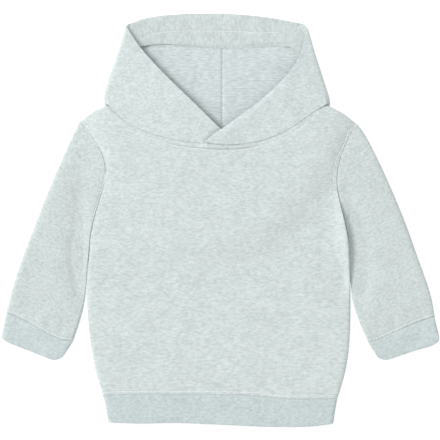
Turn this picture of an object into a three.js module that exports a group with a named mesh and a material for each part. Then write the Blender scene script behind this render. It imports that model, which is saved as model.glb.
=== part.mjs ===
// Toddler hoodie laid flat, face up, for about 12 to 18 months.
// Millimetres: +X to the viewer's right, +Y towards the hood, +Z up from the table it lies on.
// The rim of the hood shows on top, and the rest of the hood is folded behind the back panel.

import * as THREE from "three";

// Cloth and clearances
const CLOTH = 2.0; // brushed sweatshirt fleece
const RIB = 2.2; // knitted rib of the cuffs and waistband
const FACING = 1.0; // thin strip inside the rim of the hood
const SEAM_GAP = 0.3; // between two pieces at a seam
const BODY_GAP = 3.2; // air between the front and the back
const SLEEVE_GAP = 3.0; // air inside a sleeve
const RIB_GAP = 2.2; // air inside a cuff and the waistband
const SHOULDER_GAP = 1.4; // air left at the shoulder seams
const POCKET_LIFT = 5.4; // how far the hood folded behind raises the back panel
const SEAM_DIP = 0.8; // how deep a stitched seam pulls the cloth in
const DIP_WIDTH = 6; // how far from the seam that shows
const SHOULDER_OUT = { x: 0.6, y: 0.8 }; // direction in which a shoulder seam looks

// Rolled edges, as fractions of the panel's width and of the armhole's length
const SIDE_ROLL = 0.019;
const ARM_ROLL = 0.055;
const ROLL_STEPS = [0, 0.134, 0.5, 1]; // 1 - cos of 0, 30, 60 and 90 degrees
const UNDERARM_FADE = 0.05; // height over which the side's roll ends above the underarm
const NECK_UNROLL = { from: 0.35, width: 0.055 }; // where the shoulder's roll begins, from the middle
const SHOULDER_ZONE = { up: 0.8, out: 0.2, width: 0.2 }; // where the air thins out to the shoulder

// Body panels: side seams and armholes, from the hem upwards
const UNDERARM_Y = -35;
const BODY_EDGE = [
  { y: -204.4, left: -134.0, right: 134.0 },
  { y: -192.4, left: -138.0, right: 138.0 },
  { y: -174.0, left: -143.7, right: 143.1 },
  { y: -155.7, left: -147.1, right: 146.6 },
  { y: -119.0, left: -151.7, right: 148.9 },
  { y: -88.0, left: -152.9, right: 148.9 },
  { y: -35.0, left: -150.6, right: 147.2 },
  { y: 2.3, left: -144.3, right: 140.8 },
  { y: 22.9, left: -138.0, right: 134.8 },
  { y: 43.5, left: -131.7, right: 132.0 },
  { y: 59.5, left: -130.0, right: 132.9 },
  { y: 73.3, left: -132.2, right: 137.0 },
  { y: 96.2, left: -147.1, right: 146.9 },
  { y: 113.4, left: -159.7, right: 156.2 },
];
const HEM = [
  { x: -134, y: -201.5 },
  { x: -110, y: -199.4 },
  { x: -35, y: -199.2 },
  { x: 39, y: -200.6 },
  { x: 70, y: -204.2 },
  { x: 134, y: -204.4 },
];
const SHOULDER_TIP = { left: { x: -159.7, y: 113.4 }, right: { x: 155.1, y: 111.1 } };
const NECK_POINT = { left: { x: -127.6, y: 131.5 }, right: { x: 120.9, y: 131.7 } };
const FRONT_NECK = [
  { x: -127.6, y: 131.5 },
  { x: -115.1, y: 116.8 },
  { x: -94.5, y: 104.8 },
  { x: -63.5, y: 93.9 },
  { x: -29.2, y: 87.8 },
  { x: 0.6, y: 85.6 },
  { x: 33.8, y: 87.6 },
  { x: 62.4, y: 95.6 },
  { x: 91.0, y: 112.2 },
  { x: 107.0, y: 124.6 },
  { x: 120.9, y: 131.7 },
];
const SHOULDER_BOW = 3.0; // how far a shoulder seam arches
const BACK_NECK_Y = 121.4;
const BODY_ROWS = 9; // steps from the hem to the underarm
const ARM_STEPS = [0.17, 0.29, 0.41, 0.53, 0.65, 0.76, 0.86]; // between the rolled ends of the armhole
const FRONT_NECK_STEPS = 16;
const BACK_NECK_STEPS = 12;

// Sleeves: long edges from the body to the cuff, then both ends of the cuff, inner side first
const SLEEVES = {
  left: {
    outer: [
      { x: -165.7, y: 104.2 },
      { x: -172.3, y: 88.2 },
      { x: -188.4, y: 53.8 },
      { x: -209.0, y: 2.3 },
      { x: -229.6, y: -51.5 },
      { x: -238.7, y: -80.2 },
    ],
    inner: [
      { x: -153.6, y: -62.0 },
      { x: -154.2, y: -88.0 },
      { x: -159.3, y: -112.2 },
    ],
    cuffSeam: [
      { x: -167.6, y: -137.0 },
      { x: -176.0, y: -137.6 },
      { x: -184.9, y: -135.6 },
      { x: -197.9, y: -129.4 },
      { x: -215.8, y: -119.1 },
      { x: -231.9, y: -110.8 },
      { x: -244.9, y: -105.6 },
    ],
    cuffEnd: [
      { x: -178.2, y: -154.0 },
      { x: -186.6, y: -160.9 },
      { x: -196.4, y: -158.2 },
      { x: -220.4, y: -148.6 },
      { x: -244.0, y: -139.4 },
      { x: -250.9, y: -133.4 },
    ],
    trough: [
      { x: -167.7, y: 57, depth: 0 },
      { x: -166.5, y: 20, depth: 1.2 },
      { x: -165.5, y: -17, depth: 1.8 },
      { x: -161.0, y: -60, depth: 2.0 },
      { x: -157.0, y: -100, depth: 0.6 },
    ],
  },
  right: {
    outer: [
      { x: 160.3, y: 105.3 },
      { x: 166.8, y: 96.2 },
      { x: 186.1, y: 57.3 },
      { x: 210.7, y: 0.0 },
      { x: 222.7, y: -33.8 },
      { x: 234.0, y: -64.1 },
      { x: 242.1, y: -88.2 },
    ],
    inner: [
      { x: 150.3, y: -62.0 },
      { x: 150.9, y: -88.0 },
      { x: 153.9, y: -102.8 },
      { x: 160.1, y: -119.7 },
    ],
    cuffSeam: [
      { x: 168.6, y: -139.2 },
      { x: 176.0, y: -138.4 },
      { x: 184.0, y: -135.2 },
      { x: 200.3, y: -127.7 },
      { x: 224.3, y: -117.2 },
      { x: 245.3, y: -109.9 },
    ],
    cuffEnd: [
      { x: 177.7, y: -154.2 },
      { x: 185.2, y: -161.2 },
      { x: 200.3, y: -156.6 },
      { x: 224.3, y: -148.6 },
      { x: 245.6, y: -142.2 },
      { x: 250.9, y: -134.4 },
    ],
    trough: [
      { x: 149.0, y: 20, depth: 0 },
      { x: 152.5, y: -5, depth: 1.4 },
      { x: 155.0, y: -50, depth: 2.2 },
      { x: 155.6, y: -86, depth: 1.6 },
      { x: 158.0, y: -104, depth: 0.4 },
    ],
  },
};
const SLEEVE_RUNS = 12; // steps along a sleeve
const SLEEVE_PACE = 1.15; // how much closer those steps lie near the armhole
const SLEEVE_SETTLE = 0.3; // part of its length where a sleeve takes its own thickness
const SEAM_REACH = 0.03; // part of its length that a seam pulls in
const TUBE_END = 0.1; // part of a tube's length where its rolled edges follow its end
const TROUGH_WIDTH = 9;

// Waistband: sides and lower edge
const WAIST_END = [
  { x: -128.2, y: -231.0 },
  { x: -92.2, y: -232.4 },
  { x: -52.1, y: -231.6 },
  { x: -0.6, y: -233.6 },
  { x: 51.0, y: -235.9 },
  { x: 102.5, y: -235.9 },
  { x: 129.5, y: -232.5 },
];
const WAIST_STEPS = 2;
const WAIST_DRAW = 0.8; // below 1, the band draws in at once under its seam

// Hood: the middle seam, the rim over the opening, and the fold where the side of the hood turns under
const HOOD_SEAM_X = 2.3;
const HOOD_TOP_Y = 236.4;
const HOOD = {
  left: {
    sign: -1,
    crossing: { x: 17.7, y: 86.7 },
    rimSide: [
      { x: -0.3, y: 104.5 },
      { x: -33.5, y: 137.4 },
      { x: -64.2, y: 166.8 },
      { x: -94.6, y: 200.3 },
    ],
    corner: { x: -101.3, y: 225.1 },
    rimTop: [
      { x: -94.5, y: 229.0 },
      { x: -70.4, y: 233.6 },
      { x: -40.0, y: 235.8 },
    ],
    fold: [
      { x: -110.8, y: 220.0 },
      { x: -115.9, y: 197.2 },
      { x: -120.8, y: 183.2 },
      { x: -130.0, y: 155.7 },
      { x: -133.0, y: 142.5 },
    ],
    lap: 0,
  },
  right: {
    sign: 1,
    crossing: { x: -17.1, y: 88.6 },
    rimSide: [
      { x: 7.0, y: 107.9 },
      { x: 44.8, y: 135.2 },
      { x: 66.3, y: 155.1 },
      { x: 78.7, y: 165.7 },
      { x: 90.9, y: 185.8 },
      { x: 95.3, y: 199.5 },
    ],
    corner: { x: 89.0, y: 225.5 },
    rimTop: [
      { x: 78.7, y: 227.4 },
      { x: 58.5, y: 231.4 },
      { x: 31.3, y: 234.4 },
    ],
    fold: [
      { x: 103.6, y: 216.5 },
      { x: 107.5, y: 198.9 },
      { x: 111.6, y: 183.2 },
      { x: 119.0, y: 158.7 },
      { x: 124.6, y: 142.0 },
    ],
    lap: 4.6, // how much higher this panel lies where it crosses the other
  },
};
const LAP_FADE = { start: 2, end: 18 }; // distance past the other panel's rim where the lap sinks
const FOLD_HEIGHT = [
  { run: 0, height: 11.0 },
  { run: 0.35, height: 10.0 },
  { run: 0.7, height: 9.6 },
  { run: 1, height: 9.0 },
];
const FOLD_ANGLES = [90, 60, 30, 0, -30, -60, -90];
const FLAP_CROWN = 2.6; // how far the cloth of the hood arches between the neck seam and the fold
const FACING_ROWS = 3; // spokes from the rim that the facing covers
const FACING_WIDTH = 40; // where it crosses the hood's middle seam
const FACING_ARCH = 3.5; // how far its lower edge rises on the way from there to the fold
const NECK_CLEAR = 4; // least distance of a spoke from the crossing and from the shoulder
const FLAP_STEPS = 8;
const FAR_STEPS = 8;
const RIM_FADE = 2.6; // how fast the rim's curve fades into the hood

// Hidden part of the hood: a rounded pouch behind the back panel, and the nape that leads into it
const POUCH = { x: -3.4, y: 135, halfWidth: 126, depth: 149, power: 1.7 };
const POUCH_ANGLES = [8, 20, 34, 48, 62, 76, 90];
const POUCH_FULL = 1.07; // in pouch sizes: the back panel is fully raised up to here
const POUCH_CLEAR = 1.31; // and lies on the table from here
const NAPE_TOP = 4.6; // top of the hood's two hidden layers
const NAPE_LIP = 1.2; // how far the nape shows past the back neck
const PAST_SHOULDER = { over: 0.9, under: 2.1, fold: 5.9, rise: 0.3 }; // the hood passes round the shoulder
const CROWN_TURN = 8; // how far the hood's last spoke runs back from the crown
const CROWN_PART = 1.2; // half of the space between the hood's halves at the hidden crown

// Colours
const COLOURS = { marl: "#d4dddc", rib: "#c7d3d3", cuff: "#ccd7d6", hood: "#d5dfde", facing: "#d3dcdc" };

// Small functions for curves and blends
const lerp = (a, b, t) => a + (b - a) * t;
const clamp = (t) => Math.min(1, Math.max(0, t));
const smooth = (t) => clamp(t) * clamp(t) * (3 - 2 * clamp(t));
const radians = (degrees) => (degrees * Math.PI) / 180;

// Value of column `to` where column `from` has the value t, on a smooth line through the rows
function along(rows, from, to, t) {
  let k = 0;
  while (k < rows.length - 2 && t > rows[k + 1][from]) k += 1;
  const slope = (i) => {
    const a = rows[Math.max(0, i - 1)];
    const b = rows[Math.min(rows.length - 1, i + 1)];
    return (b[to] - a[to]) / (b[from] - a[from]);
  };
  const [a, b] = [rows[k], rows[k + 1]];
  const h = b[from] - a[from];
  const s = clamp((t - a[from]) / h);
  const [s2, s3] = [s * s, s * s * s];
  const start = (2 * s3 - 3 * s2 + 1) * a[to] + (s3 - 2 * s2 + s) * h * slope(k);
  return start + (3 * s2 - 2 * s3) * b[to] + (s3 - s2) * h * slope(k + 1);
}

// Plan curve through points, read by its fraction of length
function planCurve(points) {
  const curve = new THREE.SplineCurve(points.map((p) => new THREE.Vector2(p.x, p.y)));
  return (t) => curve.getPointAt(clamp(t));
}

// Four-sided plan patch between curves: bottom and top run across, left and right run up
function patch(bottom, top, left, right) {
  const corner = (u, v) => (v === 0 ? bottom(u) : top(u));
  return (u, v) => {
    const mix = (axis) =>
      lerp(bottom(u)[axis], top(u)[axis], v) +
      lerp(left(v)[axis], right(v)[axis], u) -
      lerp(
        lerp(corner(0, 0)[axis], corner(1, 0)[axis], u),
        lerp(corner(0, 1)[axis], corner(1, 1)[axis], u),
        v,
      );
    return new THREE.Vector2(mix("x"), mix("y"));
  };
}

// How far the folded hood raises what lies over it
function lift(p) {
  const across = Math.abs(p.x - POUCH.x) / POUCH.halfWidth;
  const down = Math.max(0, POUCH.y - p.y) / POUCH.depth;
  const size = (across ** POUCH.power + down ** POUCH.power) ** (1 / POUCH.power);
  return POCKET_LIFT * smooth((POUCH_CLEAR - size) / (POUCH_CLEAR - POUCH_FULL));
}

// A closed wall: points of its outer face, each with the direction in which that face looks
function wall(name, cells, thickness, colour, wraps = false, from = 0) {
  const rows = cells.length;
  const cols = cells[0].length;
  const positions = [];
  for (const depth of [from, from + thickness]) {
    for (const row of cells) {
      for (const { point, facing } of row) {
        positions.push(...point.clone().addScaledVector(facing, -depth).toArray());
      }
    }
  }
  const outer = (i, j) => i * cols + (j % cols);
  const inner = (i, j) => rows * cols + outer(i, j);
  const triangles = [];
  const quad = (a, b, c, d) => triangles.push(a, b, c, a, c, d);
  const lastCol = wraps ? cols : cols - 1;
  for (let i = 0; i < rows - 1; i += 1) {
    for (let j = 0; j < lastCol; j += 1) {
      quad(outer(i, j), outer(i, j + 1), outer(i + 1, j + 1), outer(i + 1, j));
      quad(inner(i, j), inner(i + 1, j), inner(i + 1, j + 1), inner(i, j + 1));
    }
    if (!wraps) {
      quad(outer(i, 0), outer(i + 1, 0), inner(i + 1, 0), inner(i, 0));
      quad(outer(i + 1, lastCol), outer(i, lastCol), inner(i, lastCol), inner(i + 1, lastCol));
    }
  }
  for (let j = 0; j < lastCol; j += 1) {
    const last = rows - 1;
    quad(outer(0, j + 1), outer(0, j), inner(0, j), inner(0, j + 1));
    quad(outer(last, j), outer(last, j + 1), inner(last, j + 1), inner(last, j));
  }
  const corner = (k) => new THREE.Vector3().fromArray(positions, 3 * k);
  let volume = 0;
  for (let k = 0; k < triangles.length; k += 3) {
    const [a, b, c] = triangles.slice(k, k + 3).map(corner);
    volume += a.dot(b.cross(c)) / 6;
  }
  if (volume < 0) triangles.reverse();
  const geometry = new THREE.BufferGeometry();
  geometry.setAttribute("position", new THREE.Float32BufferAttribute(positions, 3));
  geometry.setIndex(triangles);
  geometry.computeVertexNormals();
  const material = new THREE.MeshStandardMaterial({ color: colour, roughness: 0.95, metalness: 0 });
  const mesh = new THREE.Mesh(geometry, material);
  mesh.name = name;
  return mesh;
}

// A point of a wall's outer face
function cell(x, y, z, sideways, up) {
  const facing = new THREE.Vector3(sideways.x, sideways.y, up).normalize();
  return { point: new THREE.Vector3(x, y, z), facing };
}

// Sine and cosine of the roll at a distance from an edge, 1 and 0 on the flat
function roll(distance, radius) {
  const cos = clamp(1 - distance / radius);
  return { sin: Math.sqrt(1 - cos * cos), cos };
}

// Stations of the body panels: across the width, and up from the hem
const armStations = [
  ...ROLL_STEPS.map((s) => s * ARM_ROLL),
  ...ARM_STEPS,
  ...ROLL_STEPS.map((s) => 1 - s * ARM_ROLL).reverse(),
];
const underarmV = (UNDERARM_Y - HEM[0].y) / (SHOULDER_TIP.left.y - HEM[0].y);
const bodyStations = [
  ...Array.from({ length: BODY_ROWS }, (_, i) => (underarmV * i) / BODY_ROWS),
  ...armStations.map((t) => lerp(underarmV, 1, t)),
];
const shoulderU = {
  left: (NECK_POINT.left.x - SHOULDER_TIP.left.x) / (SHOULDER_TIP.right.x - SHOULDER_TIP.left.x),
  right: (NECK_POINT.right.x - SHOULDER_TIP.left.x) / (SHOULDER_TIP.right.x - SHOULDER_TIP.left.x),
};
function acrossStations(neckSteps) {
  const edge = [...ROLL_STEPS.map((s) => s * SIDE_ROLL), 0.05];
  const neck = Array.from({ length: neckSteps + 1 }, (_, i) =>
    lerp(shoulderU.left, shoulderU.right, i / neckSteps),
  );
  return [...edge, ...neck, ...edge.map((u) => 1 - u).reverse()];
}

const hemLine = (u) => {
  const x = lerp(BODY_EDGE[0].left, BODY_EDGE[0].right, u);
  return { x, y: along(HEM, "x", "y", x) };
};
const bodyEdge = (side) => (v) => {
  const start = side === "left" ? hemLine(0) : hemLine(1);
  const tip = SHOULDER_TIP[side];
  const y = lerp(start.y, tip.y, v);
  const slip = tip.x - along(BODY_EDGE, "y", side, tip.y);
  const base = start.x - along(BODY_EDGE, "y", side, start.y);
  return { x: along(BODY_EDGE, "y", side, y) + lerp(base, slip, v), y };
};
const shoulderBow = (t) => SHOULDER_BOW * Math.sin(Math.PI * t) ** 2;
const topLine = (neck) => (u) => {
  const x = lerp(SHOULDER_TIP.left.x, SHOULDER_TIP.right.x, u);
  if (u <= shoulderU.left) {
    const t = u / shoulderU.left;
    return { x, y: lerp(SHOULDER_TIP.left.y, NECK_POINT.left.y, t) + shoulderBow(t) };
  }
  if (u >= shoulderU.right) {
    const t = (u - shoulderU.right) / (1 - shoulderU.right);
    return { x, y: lerp(NECK_POINT.right.y, SHOULDER_TIP.right.y, t) + shoulderBow(t) };
  }
  return { x, y: neck(x) };
};
const frontNeck = (x) => along(FRONT_NECK, "x", "y", x);
const backNeck = (x) => {
  const middle = (NECK_POINT.left.x + NECK_POINT.right.x) / 2;
  const reach = Math.abs(x - middle) / (NECK_POINT.right.x - middle);
  return lerp(BACK_NECK_Y, NECK_POINT.left.y, reach ** 3);
};

// Height of the air between the body panels
function bodyGap(u, v) {
  const { up, out, width } = SHOULDER_ZONE;
  const shoulder = smooth((v - up) / (1 - up)) * smooth((Math.abs(u - 0.5) - out) / width);
  return lerp(BODY_GAP, SHOULDER_GAP, shoulder);
}

// Front (up = 1) or back (up = -1) panel, rolled at the side seams and shoulders, dipped at its seams
function bodyPanel(neck, neckSteps, up) {
  const plan = patch(hemLine, topLine(neck), bodyEdge("left"), bodyEdge("right"));
  const width = SHOULDER_TIP.right.x - SHOULDER_TIP.left.x;
  const height = SHOULDER_TIP.left.y - HEM[0].y;
  return bodyStations.map((v) =>
    acrossStations(neckSteps).map((u) => {
      const p = plan(u, v);
      const sideways = u < 0.5 ? -1 : 1;
      const armhole = smooth((v - underarmV) / UNDERARM_FADE);
      const neckward = smooth((Math.abs(u - 0.5) - NECK_UNROLL.from) / NECK_UNROLL.width);
      const side = roll(Math.min(u, 1 - u), SIDE_ROLL);
      const shoulder = roll(1 - v, (1 - underarmV) * ARM_ROLL);
      const flat = (1 - (1 - armhole) * (1 - side.sin)) * (1 - neckward * (1 - shoulder.sin));
      const under = lift(p);
      const air = bodyGap(u, v);
      const seam = under + CLOTH + air / 2 + (up * SEAM_GAP) / 2;
      const face = up > 0 ? under + 2 * CLOTH + air : under;
      const nearest = Math.min(
        armhole > 0.5 ? Math.min(u, 1 - u) * width : Infinity,
        (1 - v) * height + (neckward > 0.5 ? width : 0),
        v * height,
      );
      const dip = up > 0 ? SEAM_DIP * Math.exp(-((nearest / DIP_WIDTH) ** 2)) : 0;
      const out = new THREE.Vector2(
        sideways * (side.cos * (1 - armhole) + SHOULDER_OUT.x * shoulder.cos * neckward),
        SHOULDER_OUT.y * shoulder.cos * neckward,
      );
      return cell(p.x, p.y, lerp(seam, face - dip, flat), out, up * flat);
    }),
  );
}

// A flattened tube: plan(w, s) with s from its inner to its outer edge, w along it
function tube(plan, runs, stations, roller, heights) {
  const edgeOut = (w, s) => {
    const step = 0.02;
    const a = plan(Math.max(0, w - step), s);
    const b = plan(Math.min(1, w + step), s);
    const across = plan(w, s).sub(plan(w, Math.abs(s - roller))).normalize();
    const out = new THREE.Vector2(b.y - a.y, a.x - b.x).normalize();
    if (out.dot(across) < 0) out.negate();
    return across.lerp(out, smooth(w / TUBE_END) * smooth((1 - w) / TUBE_END)).normalize();
  };
  return runs.map((w) => {
    const inside = edgeOut(w, 0);
    const outside = edgeOut(w, 1);
    const face = (s, up) => {
      const p = plan(w, s);
      const { sin, cos } = roll(Math.min(s, 1 - s), roller);
      const { top, bottom } = heights(w, s, p);
      const middle = (top + bottom) / 2;
      const out = (s < 0.5 ? inside : outside).clone().multiplyScalar(cos);
      return cell(p.x, p.y, lerp(middle, up > 0 ? top : bottom, sin), out, up * sin);
    };
    const back = stations.slice(1, -1).reverse();
    return [...stations.map((s) => face(s, 1)), ...back.map((s) => face(s, -1))];
  });
}

// Soft trough along a row of points, as a depth at p
function troughDepth(rows, p) {
  const down = [...rows].reverse();
  if (p.y > rows[0].y || p.y < down[0].y) return 0;
  const middle = along(down, "y", "x", p.y);
  return along(down, "y", "depth", p.y) * Math.exp(-(((p.x - middle) / TROUGH_WIDTH) ** 2));
}

function sleevePlan(side) {
  const { outer, inner, cuffSeam } = SLEEVES[side];
  const sign = side === "left" ? -1 : 1;
  const edge = bodyEdge(side);
  const armhole = (s) => {
    const p = edge(lerp(underarmV, 1, s));
    return { x: p.x + sign * 2 * SEAM_GAP, y: p.y };
  };
  const seam = planCurve(cuffSeam);
  const innerEdge = planCurve([armhole(0), ...inner, seam(0)]);
  const outerEdge = planCurve([armhole(1), ...outer, seam(1)]);
  return (w, s) => patch(armhole, seam, innerEdge, outerEdge)(s, w);
}

function sleeve(side) {
  const runs = Array.from({ length: SLEEVE_RUNS + 1 }, (_, i) => (i / SLEEVE_RUNS) ** SLEEVE_PACE);
  const heights = (w, s, p) => {
    const atArmhole = bodyGap(0, lerp(underarmV, 1, s));
    const air = lerp(atArmhole, SLEEVE_GAP, smooth(w / SLEEVE_SETTLE));
    const near = (part) => Math.exp(-((part / SEAM_REACH) ** 2));
    const seamDip = SEAM_DIP * (near(w) + near(1 - w));
    const under = lift(p);
    const fold = troughDepth(SLEEVES[side].trough, p);
    return { bottom: under, top: under + 2 * CLOTH + air - seamDip - fold };
  };
  return wall(
    `sleeve_${side}`,
    tube(sleevePlan(side), runs, armStations, ARM_ROLL, heights),
    CLOTH,
    COLOURS.marl,
    true,
  );
}

function cuff(side) {
  const { cuffSeam, cuffEnd } = SLEEVES[side];
  const seam = planCurve(cuffSeam);
  const end = planCurve(cuffEnd);
  const plan = (w, s) => {
    const tangent = seam(s + 0.02).sub(seam(s - 0.02)).normalize();
    const down = new THREE.Vector2(-Math.abs(tangent.y) * Math.sign(end(s).x), -Math.abs(tangent.x));
    return seam(s).addScaledVector(down, 2 * SEAM_GAP).lerp(end(s), w);
  };
  const heights = () => ({ bottom: 0, top: 2 * RIB + RIB_GAP });
  return wall(
    `cuff_${side}`,
    tube(plan, [0, 0.5, 1], armStations, ARM_ROLL, heights),
    RIB,
    COLOURS.cuff,
    true,
  );
}

// Waistband: a flattened tube that hangs from the hem of both panels, so it uses their stations
function waistRib() {
  const bottomX = (u) => lerp(WAIST_END[0].x, WAIST_END.at(-1).x, u);
  const plan = (u, w) => {
    const top = hemLine(u);
    const bottom = { x: bottomX(u), y: along(WAIST_END, "x", "y", bottomX(u)) };
    const x = lerp(top.x, bottom.x, w ** WAIST_DRAW);
    return new THREE.Vector2(x, lerp(top.y - SEAM_GAP, bottom.y, w));
  };
  const face = (u, w, up) => {
    const p = plan(u, w);
    const { sin, cos } = roll(Math.min(u, 1 - u), SIDE_ROLL);
    const [bottom, top] = [0, 2 * RIB + RIB_GAP];
    const out = new THREE.Vector2(u < 0.5 ? -cos : cos, 0);
    return cell(p.x, p.y, lerp((top + bottom) / 2, up > 0 ? top : bottom, sin), out, up * sin);
  };
  const cells = Array.from({ length: WAIST_STEPS + 1 }, (_, i) => {
    const w = i / WAIST_STEPS;
    const front = acrossStations(FRONT_NECK_STEPS).map((u) => face(u, w, 1));
    const back = acrossStations(BACK_NECK_STEPS).slice(1, -1).reverse();
    return [...front, ...back.map((u) => face(u, w, -1))];
  });
  return wall("waist_rib", cells, RIB, COLOURS.rib, true);
}

// Top of the front panel along its neck seam, were it not rolled at the shoulder
function neckTop(p) {
  const width = SHOULDER_TIP.right.x - SHOULDER_TIP.left.x;
  return lift(p) + 2 * CLOTH + bodyGap((p.x - SHOULDER_TIP.left.x) / width, 1);
}

// Half of the hood as spokes. Each runs from the neck seam over the side of the hood to the fold, and
// back underneath to the middle seam. The first spoke is the rim, the last is the middle seam's fold.
function hoodSpokes(side, frontEdge) {
  const { sign, crossing, fold } = HOOD[side];
  const neck = NECK_POINT[side];
  const between = (c) =>
    sign * (c.point.x - crossing.x) > NECK_CLEAR && sign * (neck.x - c.point.x) > NECK_CLEAR;
  const stations = frontEdge.filter(between);
  if (sign < 0) stations.reverse();
  const foldLine = planCurve(fold);
  const spokes = [];
  const count = stations.length + 1;
  const outAt = (t) => {
    const tangent = foldLine(t + 0.04).sub(foldLine(t - 0.04)).normalize();
    return new THREE.Vector2(-sign * tangent.y, sign * tangent.x);
  };
  const frontSpoke = (x, y, run) => {
    const height = along(FOLD_HEIGHT, "run", "height", run);
    const z = neckTop({ x, y }) - SEAM_DIP * (1 - run ** 2);
    spokes.push({ x, y, z, foldPoint: foldLine(run), out: outAt(run), height, run });
  };
  frontSpoke(crossing.x, crossing.y + SEAM_GAP, 0);
  stations.forEach((c, i) =>
    frontSpoke(c.point.x, c.point.y + 2 * SEAM_GAP, (i + 1) / count),
  );
  const aside = new THREE.Vector2(sign * SHOULDER_OUT.x, SHOULDER_OUT.y);
  const over = new THREE.Vector2(neck.x, neck.y).addScaledVector(aside, PAST_SHOULDER.over);
  const hidden = { z: NAPE_TOP, height: NAPE_TOP };
  frontSpoke(over.x, over.y, 1);
  spokes.push({
    ...hidden,
    x: neck.x + sign * PAST_SHOULDER.under,
    y: neck.y + PAST_SHOULDER.rise,
    foldPoint: new THREE.Vector2(neck.x + sign * PAST_SHOULDER.fold, neck.y),
    out: new THREE.Vector2(sign, 0),
    run: 1,
  });
  for (const angle of POUCH_ANGLES) {
    const t = angle / 90;
    const x = lerp(neck.x - sign * NECK_CLEAR, HOOD_SEAM_X + (sign * SEAM_GAP) / 2, t);
    const exponent = 2 / POUCH.power;
    const seamShift = (HOOD_SEAM_X - POUCH.x) * t ** 4;
    const foldPoint = new THREE.Vector2(
      POUCH.x + seamShift + sign * POUCH.halfWidth * Math.cos(radians(angle)) ** exponent,
      POUCH.y - POUCH.depth * Math.sin(radians(angle)) ** exponent,
    );
    if (angle === 90) foldPoint.x = HOOD_SEAM_X + sign * CROWN_PART;
    const out = new THREE.Vector2(sign * Math.cos(radians(angle)), -Math.sin(radians(angle)));
    spokes.push({ ...hidden, x, y: backNeck(x) + NAPE_LIP, foldPoint, out, run: 1 + t });
  }
  return spokes;
}

// Points of half a hood, spoke by spoke
function hoodCells(side, frontEdge) {
  const { sign, rimSide, rimTop, corner, lap } = HOOD[side];
  const spokes = hoodSpokes(side, frontEdge);
  const seamX = HOOD_SEAM_X + (sign * SEAM_GAP) / 2;
  const turn = (spoke) => spoke.foldPoint.clone().addScaledVector(spoke.out, -spoke.height / 2);
  const rimStart = turn(spokes[0]);
  const sideCurve = planCurve([spokes[0], ...rimSide, rimStart]);
  const topCurve = planCurve([corner, ...rimTop, { x: seamX, y: HOOD_TOP_Y }]);
  const otherRim = HOOD.left.crossing;
  return spokes.map((spoke) => {
    const fade = clamp(1 - spoke.run) ** RIM_FADE;
    const start = turn(spoke);
    const slant = new THREE.Vector2(corner.x, corner.y).sub(rimStart).multiplyScalar(fade);
    const under = start.clone().add(slant);
    const rise = (HOOD_TOP_Y - HOOD[side].fold[0].y) * fade + CROWN_TURN * clamp(spoke.run - 1) ** 2;
    const end = new THREE.Vector2(seamX, spoke.foldPoint.y + rise);
    const bend = (curve, from, to, t) =>
      curve(t).sub(new THREE.Vector2(lerp(from.x, to.x, t), lerp(from.y, to.y, t)));
    const cells = [];
    for (let i = 0; i < FLAP_STEPS; i += 1) {
      const t = i / FLAP_STEPS;
      const sag = bend(sideCurve, spokes[0], rimStart, t).multiplyScalar(fade);
      const [x, y] = [lerp(spoke.x, start.x, t) + sag.x, lerp(spoke.y, start.y, t) + sag.y];
      const beyond = (x - otherRim.x + y - otherRim.y) / Math.SQRT2;
      const crossing = lap * smooth((LAP_FADE.end - beyond) / (LAP_FADE.end - LAP_FADE.start));
      const crown = spoke.run < 1 ? FLAP_CROWN * (1 - spoke.run) * Math.sin(Math.PI * t) : 0;
      const z = lerp(spoke.z, spoke.height, smooth(t)) + crown + (spoke.run < 1 ? crossing : 0);
      cells.push(cell(x, y, z, new THREE.Vector2(0, 0), 1));
    }
    for (const angle of FOLD_ANGLES) {
      const [cos, sin] = [Math.cos(radians(angle)), Math.sin(radians(angle))];
      const p = start.clone().addScaledVector(spoke.out, (spoke.height / 2) * cos);
      p.addScaledVector(slant, (1 - sin) / 2);
      const z = (spoke.height / 2) * (1 + sin);
      cells.push(cell(p.x, p.y, z, spoke.out.clone().multiplyScalar(cos), sin));
    }
    for (let i = 1; i <= FAR_STEPS; i += 1) {
      const t = i / FAR_STEPS;
      const arch = bend(topCurve, corner, { x: seamX, y: HOOD_TOP_Y }, t).multiplyScalar(fade);
      const [x, y] = [lerp(under.x, end.x, t) + arch.x, lerp(under.y, end.y, t) + arch.y];
      cells.push(cell(x, y, 0, new THREE.Vector2(0, 0), -1));
    }
    return cells;
  });
}

// The facing follows the hood's first spokes, and on the flat far wall both halves take the same width
function facingRows(cells) {
  return cells.slice(0, FACING_ROWS + 1).map((spoke, row) => {
    const share = row / FACING_ROWS;
    const shift = HOOD_TOP_Y - FACING_WIDTH * share - spoke.at(-1).point.y;
    return spoke.map(({ point, facing }, i) => {
      const t = clamp((i + 1 - (spoke.length - FAR_STEPS)) / FAR_STEPS);
      const arch = FACING_ARCH * share * Math.sin(Math.PI * (1 - t) ** 2);
      return { point: point.clone().setY(point.y + shift * smooth(t) + arch), facing };
    });
  });
}

// The pieces, in the order in which the garment is put together
function hoodie() {
  const front = bodyPanel(frontNeck, FRONT_NECK_STEPS, 1);
  const back = bodyPanel(backNeck, BACK_NECK_STEPS, -1);
  const frontTop = front.at(-1);
  const left = hoodCells("left", frontTop);
  const right = hoodCells("right", frontTop);
  const rightFacing = facingRows(right);
  const rim = facingRows(left).map((row, i) => [...row, ...rightFacing[i].reverse()]);
  for (const spoke of right) spoke.reverse();
  const group = new THREE.Group();
  group.add(
    wall("front", front, CLOTH, COLOURS.marl),
    wall("back", back, CLOTH, COLOURS.marl),
    sleeve("left"),
    sleeve("right"),
    cuff("left"),
    cuff("right"),
    waistRib(),
    wall("hood_left", left, CLOTH, COLOURS.hood),
    wall("hood_right", right, CLOTH, COLOURS.hood),
    wall("hood_facing", rim, FACING, COLOURS.facing, false, CLOTH + SEAM_GAP),
  );
  return group;
}

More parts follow.
